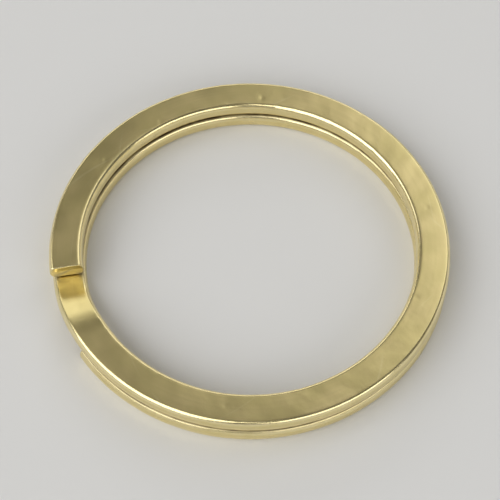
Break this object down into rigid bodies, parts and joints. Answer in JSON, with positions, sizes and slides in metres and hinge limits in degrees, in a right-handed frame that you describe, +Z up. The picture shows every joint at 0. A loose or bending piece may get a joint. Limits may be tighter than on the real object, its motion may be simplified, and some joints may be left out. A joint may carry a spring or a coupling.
{
  "type": "split key ring",
  "caption": "Flat brass split key ring: a strip wound into coils that lie on each other, with a pressed crossover and square-cut free ends that spring open to take a key.",
  "frame": {"origin": "centre of the ring, on the plane that its underside rests on", "axes": "+Z up through the ring's hole, square to its flat faces; the crossover and both cut ends are on the -X side; +Y completes the frame"},
  "size_m": [0.025, 0.025, 0.0022],
  "materials": {
    "brass": "tumbled satin brass, olive gold on the flat faces and paler where the rolled edges are rubbed"
  },
  "bodies": {
    "lower_tip": {"lower_tip": "brass"},
    "lower_spring_8": {"lower_spring_8": "brass"},
    "lower_spring_7": {"lower_spring_7": "brass"},
    "lower_spring_6": {"lower_spring_6": "brass"},
    "lower_spring_5": {"lower_spring_5": "brass"},
    "lower_spring_4": {"lower_spring_4": "brass"},
    "lower_spring_3": {"lower_spring_3": "brass"},
    "lower_spring_2": {"lower_spring_2": "brass"},
    "lower_spring_1": {"lower_spring_1": "brass"},
    "hoop": {"lower_run": "brass", "crossover": "brass", "upper_run": "brass"},
    "upper_spring_1": {"upper_spring_1": "brass"},
    "upper_spring_2": {"upper_spring_2": "brass"},
    "upper_spring_3": {"upper_spring_3": "brass"},
    "upper_spring_4": {"upper_spring_4": "brass"},
    "upper_spring_5": {"upper_spring_5": "brass"},
    "upper_spring_6": {"upper_spring_6": "brass"},
    "upper_spring_7": {"upper_spring_7": "brass"},
    "upper_spring_8": {"upper_spring_8": "brass"},
    "upper_tip": {"upper_tip": "brass"}
  },
  "joints": [
    {"name": "lower_coil_flex_8", "type": "hinge", "parent": "lower_tip", "child": "lower_spring_8", "pos_m": [-0.00966, -0.00615, 0.00052], "axis": [0.9239, 0.3827, 0], "range_deg": [0, 0.282]},
    {"name": "lower_coil_flex_7", "type": "hinge", "parent": "lower_spring_8", "child": "lower_spring_7", "pos_m": [-0.00697, -0.00908, 0.00052], "axis": [0.8434, 0.5373, 0], "range_deg": [0, 0.551]},
    {"name": "lower_coil_flex_6", "type": "hinge", "parent": "lower_spring_7", "child": "lower_spring_6", "pos_m": [-0.00344, -0.01092, 0.00052], "axis": [0.7373, 0.6756, 0], "range_deg": [0, 0.804]},
    {"name": "lower_coil_flex_5", "type": "hinge", "parent": "lower_spring_6", "child": "lower_spring_5", "pos_m": [0.0005, -0.01144, 0.00052], "axis": [0.6088, 0.7934, 0], "range_deg": [0, 1.03]},
    {"name": "lower_coil_flex_4", "type": "hinge", "parent": "lower_spring_5", "child": "lower_spring_4", "pos_m": [0.00438, -0.01058, 0.00052], "axis": [0.4617, 0.887, 0], "range_deg": [0, 1.23]},
    {"name": "lower_coil_flex_3", "type": "hinge", "parent": "lower_spring_4", "child": "lower_spring_3", "pos_m": [0.00774, -0.00844, 0.00052], "axis": [0.3007, 0.9537, 0], "range_deg": [0, 1.39]},
    {"name": "lower_coil_flex_2", "type": "hinge", "parent": "lower_spring_3", "child": "lower_spring_2", "pos_m": [0.01016, -0.00529, 0.00052], "axis": [0.1305, 0.9914, 0], "range_deg": [0, 1.51]},
    {"name": "lower_coil_flex_1", "type": "hinge", "parent": "lower_spring_2", "child": "lower_spring_1", "pos_m": [0.01135, -0.0015, 0.00052], "axis": [-0.0436, 0.999, 0], "range_deg": [0, 1.58]},
    {"name": "lower_coil_open", "type": "hinge", "parent": "lower_spring_1", "child": "hoop", "pos_m": [0.01118, 0.00248, 0.00052], "axis": [-0.2164, 0.9763, 0], "range_deg": [0, 1.6], "stiffness_Nm_per_rad": 0.1},
    {"name": "upper_coil_open", "type": "hinge", "parent": "hoop", "child": "upper_spring_1", "pos_m": [0.01118, -0.00248, 0.00168], "axis": [0.2164, 0.9763, 0], "range_deg": [0, 1.6], "stiffness_Nm_per_rad": 0.1},
    {"name": "upper_coil_flex_1", "type": "hinge", "parent": "upper_spring_1", "child": "upper_spring_2", "pos_m": [0.01135, 0.0015, 0.00168], "axis": [0.0436, 0.999, 0], "range_deg": [0, 1.58]},
    {"name": "upper_coil_flex_2", "type": "hinge", "parent": "upper_spring_2", "child": "upper_spring_3", "pos_m": [0.01016, 0.00529, 0.00168], "axis": [-0.1305, 0.9914, 0], "range_deg": [0, 1.51]},
    {"name": "upper_coil_flex_3", "type": "hinge", "parent": "upper_spring_3", "child": "upper_spring_4", "pos_m": [0.00774, 0.00844, 0.00168], "axis": [-0.3007, 0.9537, 0], "range_deg": [0, 1.39]},
    {"name": "upper_coil_flex_4", "type": "hinge", "parent": "upper_spring_4", "child": "upper_spring_5", "pos_m": [0.00438, 0.01058, 0.00168], "axis": [-0.4617, 0.887, 0], "range_deg": [0, 1.23]},
    {"name": "upper_coil_flex_5", "type": "hinge", "parent": "upper_spring_5", "child": "upper_spring_6", "pos_m": [0.0005, 0.01144, 0.00168], "axis": [-0.6088, 0.7934, 0], "range_deg": [0, 1.03]},
    {"name": "upper_coil_flex_6", "type": "hinge", "parent": "upper_spring_6", "child": "upper_spring_7", "pos_m": [-0.00344, 0.01092, 0.00168], "axis": [-0.7373, 0.6756, 0], "range_deg": [0, 0.804]},
    {"name": "upper_coil_flex_7", "type": "hinge", "parent": "upper_spring_7", "child": "upper_spring_8", "pos_m": [-0.00697, 0.00908, 0.00168], "axis": [-0.8434, 0.5373, 0], "range_deg": [0, 0.551]},
    {"name": "upper_coil_flex_8", "type": "hinge", "parent": "upper_spring_8", "child": "upper_tip", "pos_m": [-0.00966, 0.00615, 0.00168], "axis": [-0.9239, 0.3827, 0], "range_deg": [0, 0.282]}
  ],
  "couplings": [
    {"joint": "lower_coil_flex_8", "follows": "lower_coil_open", "ratio": 0.1736},
    {"joint": "lower_coil_flex_7", "follows": "lower_coil_open", "ratio": 0.342},
    {"joint": "lower_coil_flex_6", "follows": "lower_coil_open", "ratio": 0.5},
    {"joint": "lower_coil_flex_5", "follows": "lower_coil_open", "ratio": 0.6428},
    {"joint": "lower_coil_flex_4", "follows": "lower_coil_open", "ratio": 0.766},
    {"joint": "lower_coil_flex_3", "follows": "lower_coil_open", "ratio": 0.866},
    {"joint": "lower_coil_flex_2", "follows": "lower_coil_open", "ratio": 0.9397},
    {"joint": "lower_coil_flex_1", "follows": "lower_coil_open", "ratio": 0.9848},
    {"joint": "upper_coil_flex_1", "follows": "upper_coil_open", "ratio": 0.9848},
    {"joint": "upper_coil_flex_2", "follows": "upper_coil_open", "ratio": 0.9397},
    {"joint": "upper_coil_flex_3", "follows": "upper_coil_open", "ratio": 0.866},
    {"joint": "upper_coil_flex_4", "follows": "upper_coil_open", "ratio": 0.766},
    {"joint": "upper_coil_flex_5", "follows": "upper_coil_open", "ratio": 0.6428},
    {"joint": "upper_coil_flex_6", "follows": "upper_coil_open", "ratio": 0.5},
    {"joint": "upper_coil_flex_7", "follows": "upper_coil_open", "ratio": 0.342},
    {"joint": "upper_coil_flex_8", "follows": "upper_coil_open", "ratio": 0.1736}
  ]
}
